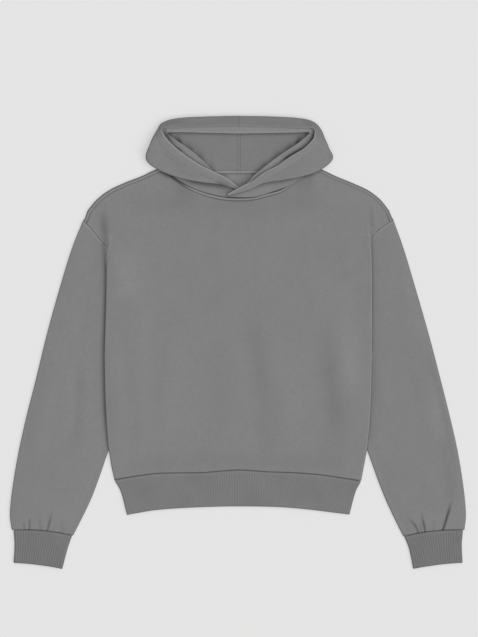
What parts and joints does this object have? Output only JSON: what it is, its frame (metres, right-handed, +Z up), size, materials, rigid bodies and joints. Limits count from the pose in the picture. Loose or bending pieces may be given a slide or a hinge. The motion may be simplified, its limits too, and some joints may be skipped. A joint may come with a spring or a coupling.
{
  "type": "pullover hoodie laid flat",
  "caption": "Long-sleeved hooded sweatshirt laid flat and face up, with dropped shoulders, an open hood with crossed front edges, and ribbed cuffs and waistband.",
  "frame": {"origin": "middle of the footprint, on the surface that the garment lies on", "axes": "+Z up through the garment's thickness, front side up; +Y from the waistband to the hood; +X across the body, towards the right sleeve as seen from above"},
  "size_m": [0.7976, 0.7923, 0.0182],
  "materials": {
    "fleece": "matte brushed jersey",
    "rib": "matte rib knit"
  },
  "bodies": {
    "root": {"front_panel": "fleece", "back_panel": "fleece", "sleeve_left": "fleece", "sleeve_right": "fleece", "hood_left": "fleece", "hood_right": "fleece", "cuff_left": "rib", "cuff_right": "rib", "waistband": "rib"}
  },
  "joints": []
}
